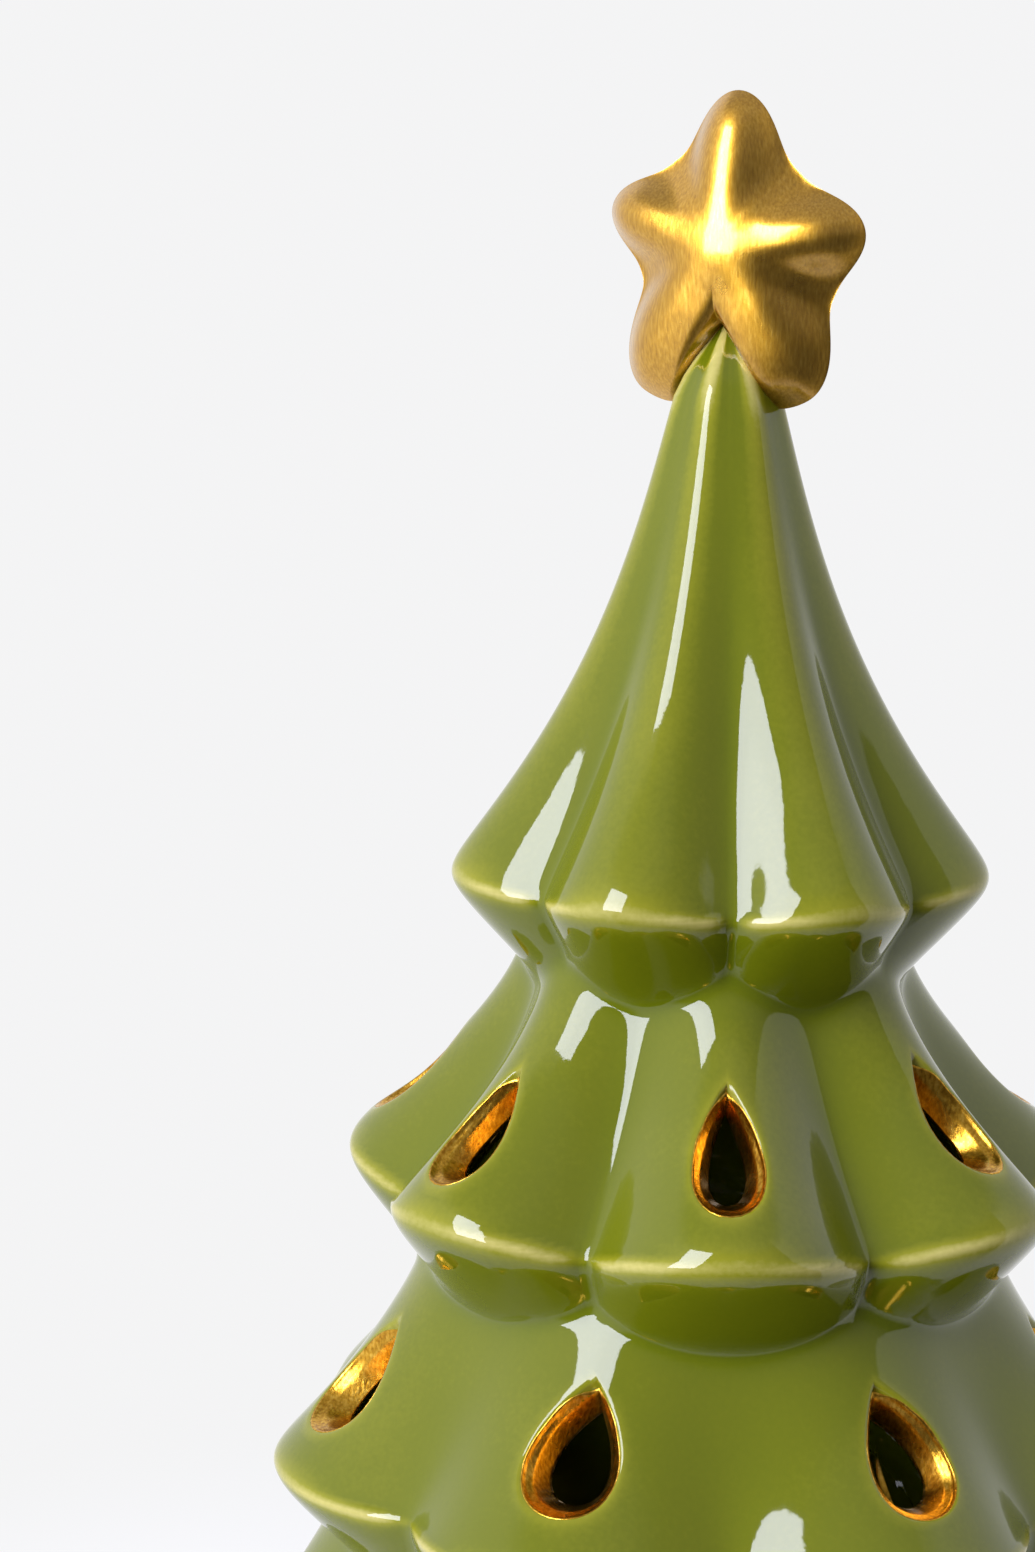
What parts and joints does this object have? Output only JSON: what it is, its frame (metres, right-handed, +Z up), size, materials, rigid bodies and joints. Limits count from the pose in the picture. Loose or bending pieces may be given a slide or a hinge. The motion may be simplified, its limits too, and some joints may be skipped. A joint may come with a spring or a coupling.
{
  "type": "christmas tree tealight holder",
  "caption": "Hollow glazed ceramic Christmas tree with lobed tiers, teardrop windows and a gilded star, lifting off a round saucer base that seats a tealight.",
  "frame": {"origin": "centre of the felt face that the holder stands on", "axes": "+Z up towards the star, -Y is the side that the star faces, +X to the right of it"},
  "size_m": [0.119, 0.1183, 0.2124],
  "materials": {
    "green_felt": "pressed wool felt",
    "saucer_glaze": "gloss olive glaze",
    "pressed_tin": "pressed foil",
    "sustainer_tin": "pressed sheet",
    "white_wax": "satin candle wax",
    "wick_cotton": "waxed cotton",
    "olive_glaze": "gloss olive glaze, gilded windows",
    "satin_gilding": "satin gold lustre"
  },
  "bodies": {
    "base": {"base_dish": "saucer_glaze", "felt_disc": "green_felt"},
    "tree": {"tree_shell": "olive_glaze", "star_topper": "satin_gilding"},
    "tealight": {"tealight_cup": "pressed_tin", "wick_sustainer": "sustainer_tin", "tealight_wax": "white_wax", "wick": "wick_cotton"}
  },
  "joints": [
    {"name": "tree_lift", "type": "slide", "parent": "base", "child": "tree", "axis": [0, 0, 1], "range_m": [0, 0.1]},
    {"name": "tealight_lift", "type": "slide", "parent": "base", "child": "tealight", "axis": [0, 0, 1], "range_m": [0, 0.03]}
  ]
}
